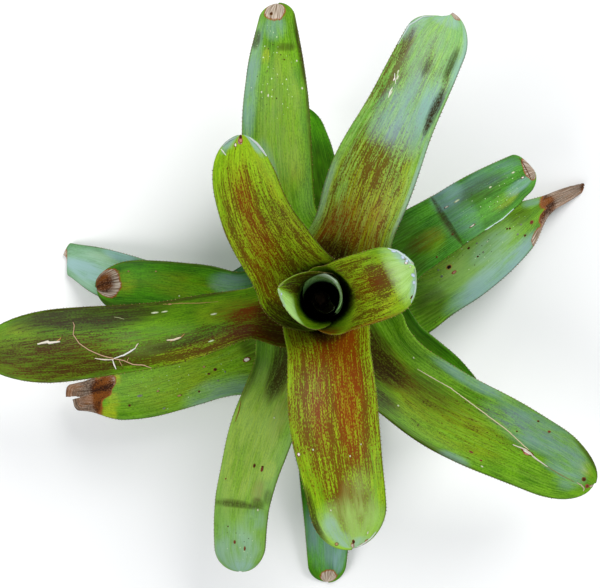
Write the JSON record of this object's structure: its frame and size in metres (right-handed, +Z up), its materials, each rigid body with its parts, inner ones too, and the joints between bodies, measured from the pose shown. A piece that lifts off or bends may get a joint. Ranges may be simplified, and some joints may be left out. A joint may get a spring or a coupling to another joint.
{
  "type": "neoregelia bromeliad plant",
  "caption": "Bromeliad rosette of broad strap leaves on a short stem: wrapped sheaths form a central tube and the blades arch outward, the lowest tips near the ground.",
  "frame": {"origin": "centre of the stem's flat cut face, on the surface that the plant stands on", "axes": "+Z up along the stem, -Y towards the long front leaf, +X to the right as seen from the front"},
  "size_m": [0.3927, 0.3763, 0.166],
  "materials": {
    "leaf_streaked": "waxy leaf, yellow-green under broken red-brown streaks",
    "leaf_green": "waxy leaf, mid green with fine lengthwise lines",
    "leaf_deep": "waxy leaf, deep shaded green",
    "leaf_pale": "waxy leaf, pale bluish green",
    "stem": "rough woody stem with a flat cut foot"
  },
  "bodies": {
    "root": {"stem": "stem", "leaf_01_heart": "leaf_pale", "leaf_02_young": "leaf_pale", "leaf_03_cup_left": "leaf_streaked", "leaf_04_cup_right": "leaf_streaked", "leaf_05_back_left": "leaf_streaked", "leaf_06_front": "leaf_streaked", "leaf_07_back_right": "leaf_streaked", "leaf_08_left": "leaf_streaked", "leaf_09_front_right": "leaf_green", "leaf_10_back": "leaf_green", "leaf_11_front_left": "leaf_green", "leaf_12_right": "leaf_green", "leaf_13_left_mid": "leaf_deep", "leaf_14_front_right_low": "leaf_deep", "leaf_15_back_low": "leaf_deep", "leaf_16_left_front_low": "leaf_green", "leaf_17_right_low": "leaf_green", "leaf_18_left_low": "leaf_pale", "leaf_19_front_low": "leaf_deep"}
  },
  "joints": []
}
